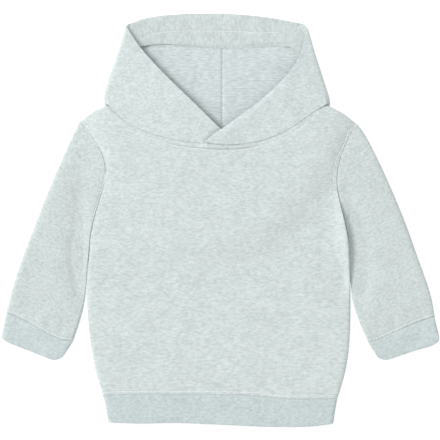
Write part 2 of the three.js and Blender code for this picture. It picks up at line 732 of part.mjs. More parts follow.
// The origin is under the middle of the garment, on the table
const part = hoodie();
const bounds = new THREE.Box3().setFromObject(part);
const middle = bounds.getCenter(new THREE.Vector3());
for (const mesh of part.children) mesh.position.set(-middle.x, -middle.y, -bounds.min.z);

export default part;
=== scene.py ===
import math

import bmesh
import bpy
import numpy as np
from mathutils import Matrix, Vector
from mathutils.bvhtree import BVHTree


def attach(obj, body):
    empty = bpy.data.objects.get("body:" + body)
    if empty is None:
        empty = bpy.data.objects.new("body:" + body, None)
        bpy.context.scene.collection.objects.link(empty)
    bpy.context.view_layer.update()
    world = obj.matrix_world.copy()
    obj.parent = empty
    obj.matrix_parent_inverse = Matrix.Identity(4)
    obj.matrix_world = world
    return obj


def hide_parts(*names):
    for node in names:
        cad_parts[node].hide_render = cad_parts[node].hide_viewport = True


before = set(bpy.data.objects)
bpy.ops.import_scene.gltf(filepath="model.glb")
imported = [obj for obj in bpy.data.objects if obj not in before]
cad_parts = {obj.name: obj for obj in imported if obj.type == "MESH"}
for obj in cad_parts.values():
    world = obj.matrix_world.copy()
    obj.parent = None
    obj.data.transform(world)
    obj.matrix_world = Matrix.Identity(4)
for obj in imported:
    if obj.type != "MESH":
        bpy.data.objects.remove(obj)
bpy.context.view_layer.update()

MM = 0.001

# The studio: the hoodie lies on a wide table, seen from straight above through a long lens.
# A broad softbox stands to its left, a little towards the hood, and white walls fill the rest.
# The table's top is lit from below, which turns its grey white and nearly hides the shadows on it.
VIEW_WIDTH = 503.8 * MM  # what the picture's width takes in on the table
VIEW_CENTRE = (-0.3 * MM, 0.1 * MM)
SENSOR, LENS = 36.0, 200.0  # mm
NEAREST_SEEN, FARTHEST_SEEN = 0.1, 20.0  # m
TABLE_GREY = "#bdbdbc"
TABLE_GLOW = 0.66
TABLE_HALF, TABLE_DROP = 4.0, 0.2 * MM
WALLS_WHITE = "#ffffff"
WALLS_LIGHT = 0.74
SOFTBOX_PLACE = (-7.2, 3.8, 7.2)  # m
SOFTBOX_SIZE = 4.2  # m
SOFTBOX_POWER = 744.0  # W


def linear(code, alpha=1.0):
    """An sRGB hex colour as the linear numbers that a shader works in."""
    parts = [int(code[i:i + 2], 16) / 255 for i in (1, 3, 5)]
    return (*[c / 12.92 if c <= 0.04045 else ((c + 0.055) / 1.055) ** 2.4 for c in parts], alpha)


def node(material, kind, settings=None, links=None):
    """Adds one node, gives its sockets and options their settings, and links outputs to its inputs."""
    made = material.node_tree.nodes.new(kind)
    for key, value in (settings or {}).items():
        if isinstance(key, str) and hasattr(made, key):
            setattr(made, key, value)
        else:
            made.inputs[key].default_value = value
    for key, source in (links or {}).items():
        material.node_tree.links.new(source, made.inputs[key])
    return made


camera = bpy.data.objects.new("camera", bpy.data.cameras.new("camera"))
camera.data.sensor_width = SENSOR
camera.data.lens = LENS
camera.location = (*VIEW_CENTRE, VIEW_WIDTH * LENS / SENSOR)
camera.data.clip_start, camera.data.clip_end = NEAREST_SEEN, FARTHEST_SEEN
bpy.context.scene.collection.objects.link(camera)
bpy.context.scene.camera = camera
bpy.context.scene.view_settings.view_transform = "Standard"

softbox = bpy.data.objects.new("softbox", bpy.data.lights.new("softbox", "AREA"))
softbox.data.shape, softbox.data.size = "DISK", SOFTBOX_SIZE
softbox.data.energy = SOFTBOX_POWER
softbox.location = SOFTBOX_PLACE
softbox.rotation_euler = (-Vector(SOFTBOX_PLACE)).to_track_quat("-Z", "Y").to_euler()
bpy.context.scene.collection.objects.link(softbox)

walls = bpy.data.worlds.new("white walls")
walls.use_nodes = True
walls.node_tree.nodes["Background"].inputs["Color"].default_value = linear(WALLS_WHITE)
walls.node_tree.nodes["Background"].inputs["Strength"].default_value = WALLS_LIGHT
bpy.context.scene.world = walls

# Matt opal acrylic: the eye sees one even white without gloss or grain
matt_opal = bpy.data.materials.new("matt_opal_acrylic")
matt_opal.use_nodes = True
table_top = matt_opal.node_tree.nodes["Principled BSDF"]
table_top.inputs["Base Color"].default_value = linear(TABLE_GREY)
table_top.inputs["Roughness"].default_value = 0.9
table_top.inputs["Specular IOR Level"].default_value = 0.2
table_top.inputs["Emission Color"].default_value = linear(WALLS_WHITE)
table_top.inputs["Emission Strength"].default_value = TABLE_GLOW
table_mesh = bpy.data.meshes.new("table")
table_mesh.from_pydata(
    [(x * TABLE_HALF, y * TABLE_HALF, -TABLE_DROP) for x, y in ((-1, -1), (1, -1), (1, 1), (-1, 1))],
    [], [(0, 1, 2, 3)])
table_mesh.materials.append(matt_opal)
table = bpy.data.objects.new("table", table_mesh)
bpy.context.scene.collection.objects.link(table)

# Front panel: one piece of brushed-back cotton sweatshirt fleece in a pale grey-green marl. It was
# cut flat, pressed and laid out, so it only swells softly, with faint draws at the underarms and hem.
# The neck and hem seams are topstitched through it.
MARL_PALE, MARL_DARK = "#d5dedd", "#bac3c2"
FLECK = (4.8 * MM, 2.0 * MM)  # length and height of a fleck, about twice as coarse as it is, to show
FUZZ = 1.3 * MM  # tufts of nap, drawn about three times as coarse as they are so that they show
FUZZ_SHARE = 0.6  # height of the tufts beside that of the flecks
NAP_DEEP = 0.5 * MM
CLOUD = 15 * MM  # patches where the fibres are blended a little darker or paler
CLOUD_SHARE = 0.14
WAVES_PER_UNIT = 20 / (2 * math.pi)  # bands that a wave texture draws in a unit at scale 1
WELD = 0.002 * MM
JOIN_ANGLE = math.radians(60)  # two triangles that meet flatter than this make one cell
RIM_ANGLE = math.radians(50)  # a wall's edges turn by more than this, and its rolls by less
RIM_SHARE = 0.12  # the most of a wall's surface that lies at one of its edges
SEAM_EASE, SEWN_EASE = 0.12, 0.34  # mm by which edges are let out, plain ones and sewn ones
SEWN_REACH = 3.5  # mm from a seam line within which an edge is sewn
UPWARD = 0.3  # the least that a surface looks up where it counts as the upper side


def knit(name, pale, dark, fleck=FLECK, turn=0.0, contrast=0.42, courses=None, bump=0.25):
    """Marl knit: short dark flecks along the courses, soft clouds, and the tufts of a brushed nap.
    The courses run along X, turned by `turn`; courses=(pitch, strength) draws the rows of loops too."""
    material = bpy.data.materials.new(name)
    material.use_nodes = True
    surface = material.node_tree.nodes["Principled BSDF"]
    place = node(material, "ShaderNodeTexCoord").outputs["Object"]
    along = node(material, "ShaderNodeMapping", {"Rotation": (0, 0, -turn)}, {"Vector": place}).outputs[0]
    stretched = node(material, "ShaderNodeMapping", {
        "Scale": (1 / fleck[0], 1 / fleck[1], 1 / fleck[1])}, {"Vector": along}).outputs[0]
    flecks = node(material, "ShaderNodeTexNoise", {
        "Scale": 1.0, "Detail": 3.5, "Roughness": 0.55, "Distortion": 0.3},
        {"Vector": stretched}).outputs["Fac"]
    clouds = node(material, "ShaderNodeTexNoise", {
        "Scale": 1 / CLOUD, "Detail": 2.0, "Roughness": 0.5}, {"Vector": place}).outputs["Fac"]
    tufts = node(material, "ShaderNodeTexNoise", {
        "Scale": 1 / FUZZ, "Detail": 2.0, "Roughness": 0.6}, {"Vector": place}).outputs["Fac"]
    share = node(material, "ShaderNodeMapRange", {
        "From Min": 0.5 - contrast / 2, "From Max": 0.5 + contrast / 2}, {"Value": flecks}).outputs[0]
    patchy = node(material, "ShaderNodeMapRange", {
        "From Min": 0.25, "From Max": 0.75, "To Min": -CLOUD_SHARE, "To Max": CLOUD_SHARE},
        {"Value": clouds}).outputs[0]
    blend = node(material, "ShaderNodeMath", {"operation": "ADD"}, {0: share, 1: patchy}).outputs[0]
    height = node(material, "ShaderNodeMath", {"operation": "MULTIPLY_ADD", 1: FUZZ_SHARE},
                  {0: tufts, 2: flecks}).outputs[0]
    if courses:
        pitch, strength = courses
        rows = node(material, "ShaderNodeTexWave", {
            "wave_type": "BANDS", "bands_direction": "Y", "wave_profile": "SIN",
            "Scale": 1 / (pitch * WAVES_PER_UNIT), "Distortion": 4.0, "Detail": 3.0,
            "Detail Scale": 1.0}, {"Vector": along}).outputs["Fac"]
        blend = node(material, "ShaderNodeMath", {"operation": "MULTIPLY_ADD", 1: strength},
                     {0: rows, 2: blend}).outputs[0]
        height = node(material, "ShaderNodeMath", {"operation": "MULTIPLY_ADD", 1: strength},
                      {0: rows, 2: height}).outputs[0]
    colour = node(material, "ShaderNodeMix", {
        "data_type": "RGBA", "clamp_factor": True, 6: linear(dark), 7: linear(pale)}, {0: blend})
    nap = node(material, "ShaderNodeBump", {"Strength": bump, "Distance": NAP_DEEP}, {"Height": height})
    material.node_tree.links.new(colour.outputs[2], surface.inputs["Base Color"])
    material.node_tree.links.new(nap.outputs[0], surface.inputs["Normal"])
    surface.inputs["Roughness"].default_value = 0.95
    surface.inputs["IOR"].default_value = 1.53
    surface.inputs["Specular IOR Level"].default_value = 0.15
    surface.inputs["Sheen Weight"].default_value = 0.12
    surface.inputs["Sheen Roughness"].default_value = 0.5
    return material


def rims(cells):
    """The faces at the edges of a wall: folded edges part them from its large outer and inner face."""
    whole = sum(face.calc_area() for face in cells.faces)
    met, found = set(), []
    for first in cells.faces:
        if first in met:
            continue
        met.add(first)
        group = [first]
        for face in group:
            for edge in face.edges:
                if edge.calc_face_angle(0) <= RIM_ANGLE:
                    fresh = [other for other in edge.link_faces if other not in met]
                    met.update(fresh)
                    group.extend(fresh)
        if sum(face.calc_area() for face in group) < RIM_SHARE * whole:
            found.extend(group)
    return found


def pressed(x, y, crease):
    """Depth of one crease: a row of (x, y, depth, width) in mm, faded out at both ends."""
    deepest = np.zeros_like(x)
    for (x0, y0, d0, w0), (x1, y1, d1, w1) in zip(crease, crease[1:]):
        run = (x1 - x0) ** 2 + (y1 - y0) ** 2
        t = np.clip(((x - x0) * (x1 - x0) + (y - y0) * (y1 - y0)) / run, 0, 1)
        away = np.hypot(x - x0 - t * (x1 - x0), y - y0 - t * (y1 - y0))
        depth = (d0 + (d1 - d0) * t) * np.exp(-((away / (w0 + (w1 - w0) * t)) ** 2))
        deepest = np.where(np.abs(depth) > np.abs(deepest), depth, deepest)
    return deepest


def groove(line, depth, width):
    """The crease that a row of stitches pulls into the cloth along a line."""
    return [(x, y, depth, width) for x, y in line]


def nudge(cloth, moves, between=(-math.inf, math.inf)):
    """Shifts cloth in plan: each move is (x, y, shift in x, shift in y, reach) in mm.
    Only the layers `between` two heights in mm move."""
    points = np.empty(len(cloth.data.vertices) * 3)
    cloth.data.vertices.foreach_get("co", points)
    points = points.reshape(-1, 3) / MM
    for x, y, dx, dy, reach in moves:
        share = np.exp(-(np.hypot(points[:, 0] - x, points[:, 1] - y) / reach) ** 2)
        share *= (points[:, 2] > between[0]) & (points[:, 2] < between[1])
        points[:, :2] += share[:, None] * (dx, dy)
    cloth.data.vertices.foreach_set("co", (points * MM).ravel())


def near_lines(verts, lines, reach):
    """Which of the vertices lie within `reach` mm of plan lines, as a row of yes and no."""
    x, y = (np.array([v.co[axis] for v in verts]) / MM for axis in (0, 1))
    found = np.zeros(len(verts), bool)
    for line in lines:
        found |= pressed(x, y, groove(line, 1.0, reach)) > math.exp(-1)
    return found


def shell(piece, solid, cuts, material, sewn=(), sewn_ease=SEWN_EASE, ease=SEAM_EASE):
    """The cloth of a solid: its wall welded, back in four-sided cells, and rounded by subdivision.
    Its edges are let out a little, more and unrounded along the `sewn` lines, so that seams close."""
    cells = bmesh.new()
    cells.from_mesh(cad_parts[solid].data)
    bmesh.ops.remove_doubles(cells, verts=cells.verts, dist=WELD)
    bmesh.ops.join_triangles(
        cells, faces=cells.faces, cmp_seam=False, cmp_sharp=False, cmp_uvs=False, cmp_vcols=False,
        cmp_materials=False, angle_face_threshold=JOIN_ANGLE, angle_shape_threshold=math.pi)
    cells.normal_update()
    outward = {}
    for face in rims(cells):
        for vert in face.verts:
            outward[vert] = outward.get(vert, Vector()) + face.normal * face.calc_area()
    closed = {v for v, near in zip(outward, near_lines(outward, sewn, SEWN_REACH)) if near}
    tight = math.sqrt((cuts - 1) / 10)  # keeps a folded edge's radius small at any number of cuts
    folded = cells.edges.layers.float.new("crease_edge")
    for edge in cells.edges:
        if edge.is_manifold and edge.calc_face_angle() > RIM_ANGLE:
            edge[folded] = 1.0 if closed.issuperset(edge.verts) else tight
    for vert, way in outward.items():
        vert.co += way.normalized() * (sewn_ease if vert in closed else ease) * MM
    mesh = bpy.data.meshes.new(piece)
    cells.to_mesh(mesh)
    cells.free()
    cloth = bpy.data.objects.new(piece, mesh)
    bpy.context.scene.collection.objects.link(cloth)
    rounding = cloth.modifiers.new("rounding", "SUBSURF")
    rounding.levels = rounding.render_levels = cuts
    cloth.data = bpy.data.meshes.new_from_object(cloth.evaluated_get(bpy.context.evaluated_depsgraph_get()))
    cloth.modifiers.clear()
    cloth.data.materials.clear()
    cloth.data.materials.append(material)
    cloth.data.polygons.foreach_set("use_smooth", [True] * len(cloth.data.polygons))
    return cloth


def eased(t):
    """Goes softly from 0 to 1 as t does."""
    t = np.clip(t, 0, 1)
    return t * t * (3 - 2 * t)


HILL_COUNT = 96  # hills along and across before they repeat


def hills(x, y, size, seed):
    """Gentle heights from -1 to 1 with hills about `size` across, from a fixed seed."""
    heights = np.random.default_rng(seed).uniform(-1, 1, (HILL_COUNT, HILL_COUNT))
    u, v = x / size + HILL_COUNT / 2, y / size + HILL_COUNT / 2
    i, j = (np.floor(place).astype(int) % (HILL_COUNT - 1) for place in (u, v))
    s, t = eased(u - np.floor(u)), eased(v - np.floor(v))
    low = heights[i, j] * (1 - s) + heights[i + 1, j] * s
    high = heights[i, j + 1] * (1 - s) + heights[i + 1, j + 1] * s
    return low * (1 - t) + high * t


def beside(path, offset):
    """A plan line that runs `offset` mm to the left of a path."""
    p = np.array(path, float)
    heading = np.gradient(p, axis=0)
    heading /= np.linalg.norm(heading, axis=1)[:, None]
    return p + offset * np.stack([-heading[:, 1], heading[:, 0]], 1)


def refine(cloth, lines, reach):
    """Halves the upper cells within `reach` mm of the lines, to hold the fine grooves there."""
    cells = bmesh.new()
    cells.from_mesh(cloth.data)
    cells.normal_update()
    upper = [v for v in cells.verts if v.normal.z > UPWARD]
    near = {v for v, inside in zip(upper, near_lines(upper, lines, reach)) if inside}
    edges = [e for e in cells.edges if e.verts[0] in near and e.verts[1] in near]
    bmesh.ops.subdivide_edges(cells, edges=edges, cuts=1, use_grid_fill=True)
    cells.to_mesh(cloth.data)
    cells.free()
    cloth.data.polygons.foreach_set("use_smooth", [True] * len(cloth.data.polygons))


# Swells of the relaxed cloth, the same for all pieces so that their seams stay together
SWELLS = ((46, 0.26, 11), (21, 0.18, 12), (9, 0.09, 13))  # hill size and height in mm, seed
RESTS_BELOW, FREE_ABOVE = 2.6, 5.0  # heights in mm: what touches the table lies flat on it
WALL = 2.0  # thickness of the fleece in mm


def relax(cloth, creases=(), floor=0.0, over=RESTS_BELOW, free=FREE_ABOVE):
    """Lets the cloth swell softly and presses its creases in; what rests on the table stays flat.
    No crease sinks the upper layer of cloth below `floor` mm."""
    points = np.empty(len(cloth.data.vertices) * 3)
    cloth.data.vertices.foreach_get("co", points)
    points = points.reshape(-1, 3) / MM
    x, y, z = points.T
    rise = sum(height * hills(x, y, size, seed) for size, height, seed in SWELLS)
    for crease in creases:
        rise = rise - pressed(x, y, crease)
    inner = np.array([n.vector.z < 0 for n in cloth.data.vertex_normals])
    lowest = np.minimum(z, floor - np.where(inner, WALL, 0.0))
    points[:, 2] = np.maximum(z + rise * eased((z - over) / (free - over)), lowest)
    cloth.data.vertices.foreach_set("co", (points * MM).ravel())
    cloth.data.update()


# Topstitching: rows of lockstitch in spun polyester thread, 3 mm a stitch, sewn through a single layer
# beside each seam. Each stitch dips into the cloth at both ends.
# Spun polyester: its even, faintly glossy fibres show as dashes a shade paler than the marl.
THREAD = 0.45 * MM  # radius; drawn thicker than the real 0.15 mm so that a row shows
STITCH, STITCH_GAP = 2.7, 0.3  # mm
STITCH_RINGS = ((0, 0.45), (0.2, 0.95), (0.5, 1.0), (0.8, 0.95), (1, 0.45))  # place along it, thickness
STITCH_PROUD = 0.5  # share of the radius by which a stitch's middle stands proud and its ends sink
THREAD_SIDES = 6
THREAD_GREY, THREAD_WHITE = "#e4ebe9", "#f6f9f8"
TWIST = 0.6 * MM  # length of a patch of darker fibre in the thread
STITCH_ZONE = 2.4  # mm beside a row where the cloth gets finer cells
ABOVE_ALL = 100 * MM  # the height from which a row is laid down on the cloth
spun_thread = bpy.data.materials.new("spun_polyester_thread")
spun_thread.use_nodes = True
thread = spun_thread.node_tree.nodes["Principled BSDF"]
twist = node(spun_thread, "ShaderNodeTexNoise", {"Scale": 1 / TWIST, "Detail": 1.0},
             {"Vector": node(spun_thread, "ShaderNodeTexCoord").outputs["Object"]})
tone = node(spun_thread, "ShaderNodeValToRGB", {}, {"Fac": twist.outputs["Fac"]})
tone.color_ramp.elements[0].color = linear(THREAD_GREY)
tone.color_ramp.elements[1].color = linear(THREAD_WHITE)
spun_thread.node_tree.links.new(tone.outputs[0], thread.inputs["Base Color"])
thread.inputs["Roughness"].default_value = 0.6
thread.inputs["IOR"].default_value = 1.55
thread.inputs["Specular IOR Level"].default_value = 0.25


def smooth_path(points, pace=0.5):
    """A smooth line through plan points in mm, as a row of points about `pace` mm apart."""
    p = np.array(points, float)
    p = np.vstack([2 * p[0] - p[1], p, 2 * p[-1] - p[-2]])
    line = []
    for a, b, c, d in zip(p, p[1:], p[2:], p[3:]):
        for t in np.linspace(0, 1, max(2, int(np.linalg.norm(c - b) / pace)), endpoint=False):
            line.append(0.5 * (2 * b + (c - a) * t + (2 * a - 5 * b + 4 * c - d) * t * t
                               + (3 * b - a - 3 * c + d) * t ** 3))
    return np.array([*line, p[-2]])


def topstitch(piece, cloth, path):
    """A row of stitches that lies on the top of the cloth along a plan line in mm."""
    line = smooth_path(path)
    length = np.concatenate([[0], np.cumsum(np.linalg.norm(np.diff(line, axis=0), axis=1))])
    surface = BVHTree.FromObject(cloth, bpy.context.evaluated_depsgraph_get())
    down = Vector((0, 0, -1))
    points, faces = [], []
    pitch = STITCH + STITCH_GAP
    rings = len(STITCH_RINGS)
    for k in range(int(length[-1] / pitch)):
        first = len(points)
        stations = []
        for t, swell in STITCH_RINGS:
            at = k * pitch + STITCH_GAP / 2 + t * STITCH
            x, y = np.interp(at, length, line[:, 0]) * MM, np.interp(at, length, line[:, 1]) * MM
            hit, normal, _, _ = surface.ray_cast(Vector((x, y, ABOVE_ALL)), down)
            if hit is None:
                break
            proud = STITCH_PROUD if 0 < t < 1 else -STITCH_PROUD
            stations.append((hit + normal * THREAD * proud, normal, THREAD * swell))
        if len(stations) < rings:
            continue
        ahead = (stations[-1][0] - stations[0][0]).normalized()
        for centre, normal, radius in stations:
            across = ahead.cross(normal).normalized()
            lift = across.cross(ahead)
            for s in range(THREAD_SIDES):
                a = 2 * math.pi * s / THREAD_SIDES
                points.append(centre + (across * math.cos(a) + lift * math.sin(a)) * radius)
        for ring in range(first, first + (rings - 1) * THREAD_SIDES, THREAD_SIDES):
            for s in range(THREAD_SIDES):
                a, b = ring + s, ring + (s + 1) % THREAD_SIDES
                faces.append((a, b, b + THREAD_SIDES, a + THREAD_SIDES))
        faces.append(tuple(first + s for s in reversed(range(THREAD_SIDES))))
        faces.append(tuple(first + (rings - 1) * THREAD_SIDES + s for s in range(THREAD_SIDES)))
    mesh = bpy.data.meshes.new(piece)
    mesh.from_pydata(points, [], faces)
    mesh.materials.append(spun_thread)
    mesh.polygons.foreach_set("use_smooth", [True] * len(mesh.polygons))
    row = bpy.data.objects.new(piece, mesh)
    bpy.context.scene.collection.objects.link(row)
    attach(row, "root")
    return row


FRONT_CREASES = (  # x, y, depth, width in mm; a negative depth is a swell
    # The swells and the groove below the neck seam
    ((-26, 88.5, 0.0, 6), (-13, 86.5, -2.3, 6), (8, 86, -2.8, 6), (28, 87.4, -2.2, 6), (46, 91, 0.0, 6)),
    ((-78, 94, 0.0, 2), (-58, 88, -0.6, 2), (-12, 82, -0.8, 2), (20, 82, -0.7, 2), (42, 86, 0.0, 2)),
    ((-74, 91, 0.0, 1.3), (-58, 86, 0.8, 1.3), (-29, 81.6, 1.0, 1.3), (0.6, 79.6, 1.0, 1.3),
     (24, 80.6, 0.9, 1.3), (40, 83, 0.0, 1.3)),
    # The right side: two draws, the swell that stands over the sleeve, the dip below it, and a draw
    ((112, -18, 0.0, 9), (118, -45, 0.9, 11), (127, -78, 0.8, 12), (134, -104, 0.0, 10)),
    ((140, -30, 0.0, 7), (118, -22, 0.5, 9), (88, -4, 0.0, 8)),
    ((136, 40, 0.0, 6), (140, 14, -3.2, 8), (145, -22, -6.8, 9), (148, -48, -5.8, 7), (149, -72, -4.4, 4.5),
     (149, -96, 0.0, 4)),
    ((138, -40, 0.0, 11), (141, -62, 2.2, 14), (142, -76, 2.6, 15), (141, -98, 1.4, 13),
     (138, -122, 0.0, 11)),
    ((134, 14, 0.0, 7), (112, 22, 0.2, 9), (84, 40, 0.0, 9)),
    # Draws from the left underarm and armhole, and faint ones above the hem
    ((-142, -22, 0.0, 7), (-120, -14, 0.5, 9), (-86, 2, 0.0, 9)),
    ((-134, 26, 0.0, 7), (-112, 36, 0.35, 8), (-92, 52, 0.0, 8)),
    ((-128, -176, 0.0, 8), (-116, -150, 0.5, 10), (-110, -118, 0.0, 9)),
    ((104, -190, 0.0, 7), (112, -166, 0.45, 9), (116, -140, 0.0, 9)),
    ((-52, -190, 0.0, 8), (-46, -176, -0.35, 9), (-43, -160, 0.0, 8)),
    ((28, -192, 0.0, 9), (36, -174, -0.3, 10), (42, -150, 0.0, 9)),
)
NECK_SEAM = (
    (-131.1, 134.7), (-124.2, 126), (-115.1, 116.8), (-103.6, 109.3), (-94.5, 104.8), (-80.7, 99.6),
    (-63.5, 93.9), (-46.4, 90.1), (-29.2, 87.8), (-12, 86.2), (0.6, 85.6), (16.6, 85.9), (33.8, 87.6),
    (47.5, 90.5), (62.4, 95.6), (77.3, 103.1), (91, 112.2), (102.5, 121.9), (111.6, 128.8))
HEM_SEAM = ((-134, -201.5), (-110, -199.4), (-35, -199.2), (39, -200.6), (70, -204.2), (134, -204.4))
ARMHOLE_LEFT = (
    (-154, 106.5), (-147.1, 96.2), (-138, 83.6), (-132.2, 73.3), (-130, 59.5), (-131.7, 43.5),
    (-138, 22.9), (-144.3, 2.3))
ARMHOLE_RIGHT = (
    (149.4, 103.1), (144.8, 89.3), (139.1, 77.9), (133.4, 64.1), (131.8, 48.1), (132.7, 32.1),
    (136.8, 13.7))
NECK_ROW, HEM_ROW, ARM_ROW = 6.0, 3.4, 2.0  # mm between a seam and its row of stitches
PULL = (0.35, 1.0)  # depth and width in mm of the groove that a row of stitches pulls in

# Brushed-back cotton fleece: dyed and undyed fibres show as soft flecks along the courses, and the nap
# scatters the light, so that it is matt with hardly a highlight
sweatshirt_fleece = knit("brushed_back_cotton_sweatshirt_fleece", MARL_PALE, MARL_DARK)
BODY_SEAMS = (NECK_SEAM, HEM_SEAM, ARMHOLE_LEFT, ARMHOLE_RIGHT)
front = shell("front_panel", "front", 3, sweatshirt_fleece, BODY_SEAMS)
front_lines = {
    "neck_topstitch": beside(NECK_SEAM[1:], -NECK_ROW),
    "hem_topstitch": beside(HEM_SEAM, HEM_ROW),
    "armhole_topstitch_left": beside(ARMHOLE_LEFT, ARM_ROW),
    "armhole_topstitch_right": beside(ARMHOLE_RIGHT, -ARM_ROW),
}
NECK_MEETS = ((-10, 86.8, 0, 1.3, 9), (104, 127, -0.4, 0.8, 10))  # x, y, shift in x and y, reach in mm
nudge(front, NECK_MEETS)
refine(front, front_lines.values(), STITCH_ZONE)
relax(front, [*FRONT_CREASES, *[groove(line, *PULL) for line in front_lines.values()]])
front_rows = [topstitch(name, front, line) for name, line in front_lines.items()]
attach(front, "root")
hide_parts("front")

# Back panel: one piece of the same fleece, sewn to the front at the shoulders and sides.
# It lies on the table, and over the hood where that is folded behind it.
BACK_CREASES = (
    ((-60, -120, 0.0, 10), (-40, -80, -0.4, 12), (-30, -40, 0.0, 10)),
    ((70, -140, 0.0, 9), (60, -100, -0.35, 11), (66, -60, 0.0, 9)),
)
NAPE_DROP = ((2, 122, 0, -22, 26),)  # the back neck lies out of sight below the hood's crossing
back = shell("back_panel", "back", 2, sweatshirt_fleece, BODY_SEAMS)
nudge(back, NAPE_DROP)
relax(back, BACK_CREASES)
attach(back, "root")
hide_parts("back")

# Sleeves: two set-in sleeves of the same fleece, each sewn into a tube and laid out flat.
# The left one sags in a soft trough, and the right one sinks into a valley beside the body.
SLEEVE_CREASES = {  # trough or valley, two draws across the arm, and short draws at the cuff seam
    "left": (
        ((-156, 70, 0.0, 7), (-157, 44, 1.4, 9), (-159, 18, 2.3, 10), (-162, -17, 2.6, 10),
         (-164, -52, 2.4, 9), (-161, -88, 1.1, 8), (-158, -108, 0.0, 6)),
        ((-205, -6, 0.0, 8), (-190, -30, 0.45, 9), (-178, -58, 0.0, 8)),
        ((-226, -60, 0.0, 7), (-206, -72, 0.4, 8), (-186, -78, 0.0, 7)),
        ((-200, -126, 0.0, 3), (-196, -116, 0.6, 4), (-193, -104, 0.0, 4)),
        ((-214, -118, 0.0, 3), (-211, -110, 0.5, 4), (-209, -96, 0.0, 4)),
        ((-182, -134, 0.0, 3), (-180, -122, 0.6, 4), (-179, -112, 0.0, 4)),
        ((-228, -110, 0.0, 3), (-226, -102, 0.45, 3.5), (-224, -94, 0.0, 4)),
    ),
    "right": (
        ((141, 48, 0.0, 6), (146, 26, 1.8, 9), (151, 10, 2.8, 11), (157, -14, 3.3, 13),
         (160, -44, 3.5, 14), (161, -76, 3.0, 12), (163, -106, 0.0, 8)),
        ((196, 20, 0.0, 8), (184, -6, 0.45, 9), (176, -40, 0.0, 8)),
        ((224, -52, 0.0, 7), (206, -64, 0.4, 8), (190, -70, 0.0, 7)),
        ((201, -126, 0.0, 3), (198, -116, 0.6, 4), (195, -106, 0.0, 4)),
        ((218, -118, 0.0, 3), (215, -108, 0.5, 4), (213, -98, 0.0, 4)),
        ((182, -134, 0.0, 3), (181, -124, 0.55, 4), (180, -112, 0.0, 4)),
        ((233, -112, 0.0, 3), (230, -104, 0.45, 3.5), (227, -96, 0.0, 4)),
    ),
}
CUFF_SEAM = {
    "left": ((-176.0, -137.6), (-184.9, -135.6), (-197.9, -129.4), (-215.8, -119.1), (-231.9, -110.8),
             (-243.4, -106.2)),
    "right": ((176.0, -138.4), (184.0, -135.2), (200.3, -127.7), (224.3, -117.2), (243.8, -110.5)),
}
SLEEVE_ROW, CUFF_ROW = 1.2, 2.4  # mm from the armhole seam and the cuff seam to their rows of stitches
SLEEVE_MEETS = {  # where the sleeve lies against the body: x, y, shift in x and y, reach in mm
    "left": ((-153, -44, 1.0, 0, 16), (-154, -66, 1.2, 0, 14)),
    "right": ((139, 20, -1.2, 0, 9), (152, -44, -1.2, 0, 16), (152, -66, -1.8, 0, 14)),
}
ARMHOLE_EASE = 0.5  # mm by which a sleeve's sewn edges are let out
SLEEVE_FLOOR = 4.2  # mm: both layers of a sleeve touch in its deepest creases
SLEEVE_TURN = {"left": math.radians(-24), "right": math.radians(24)}
LOOSE_FLECK = (3.8 * MM, 2.3 * MM)  # the flecks where the knit lies slack and looks less lined
# The same fleece turned with the arm, in copies painted a shade darker than the front panel, the left one
# the most: painted shade over the sleeves
SLEEVE_PAINTED_SHADE_TONES = {"left": ("#d1dad9", "#b6bfbe"), "right": ("#d1dad9", "#b7c0bf")}
for side, sign in (("left", 1), ("right", -1)):
    # Painted shade: each sleeve takes its darker copy of the fleece
    cloth = knit(f"sleeve_fleece_painted_shade_{side}", *SLEEVE_PAINTED_SHADE_TONES[side], LOOSE_FLECK, SLEEVE_TURN[side])
    armhole = ARMHOLE_LEFT if side == "left" else ARMHOLE_RIGHT
    sleeve = shell(f"sleeve_{side}_cloth", f"sleeve_{side}", 3, cloth, (armhole, CUFF_SEAM[side]),
                   ARMHOLE_EASE)
    nudge(sleeve, SLEEVE_MEETS[side])
    lines = {
        f"sleeve_seam_topstitch_{side}": beside(armhole, -sign * SLEEVE_ROW),
        f"cuff_topstitch_{side}": beside(CUFF_SEAM[side], -sign * CUFF_ROW),
    }
    refine(sleeve, lines.values(), STITCH_ZONE)
    relax(sleeve, [*SLEEVE_CREASES[side], *[groove(line, *PULL) for line in lines.values()]], SLEEVE_FLOOR)
    rows = [topstitch(name, sleeve, line) for name, line in lines.items()]
    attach(sleeve, "root")
    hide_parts(f"sleeve_{side}")

# Cuffs and waistband: tubes of fine cotton rib, folded double and sewn on.
# Fine rib: its closer loops hold more shadow, so it looks a shade darker, with a shorter fleck. The
# ribs themselves are under a millimetre wide and don't show at this distance.
RIB_PALE, RIB_DARK = "#cad5d5", "#b1bdbd"
CUFF_PALE, CUFF_DARK = "#ccd7d6", "#b4bfbf"
RIB_FLECK = (3.6 * MM, 2.4 * MM)
for side in ("left", "right"):
    cloth = knit(f"cuff_rib_{side}", CUFF_PALE, CUFF_DARK, RIB_FLECK, SLEEVE_TURN[side])
    cuff = shell(f"cuff_{side}_rib", f"cuff_{side}", 3, cloth, (CUFF_SEAM[side],))
    relax(cuff)
    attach(cuff, "root")
    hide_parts(f"cuff_{side}")
waist_rib = knit("fine_cotton_rib", RIB_PALE, RIB_DARK, RIB_FLECK)
waist = shell("waistband_rib", "waist_rib", 3, waist_rib, (HEM_SEAM,))
relax(waist)
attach(waist, "root")
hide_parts("waist_rib")

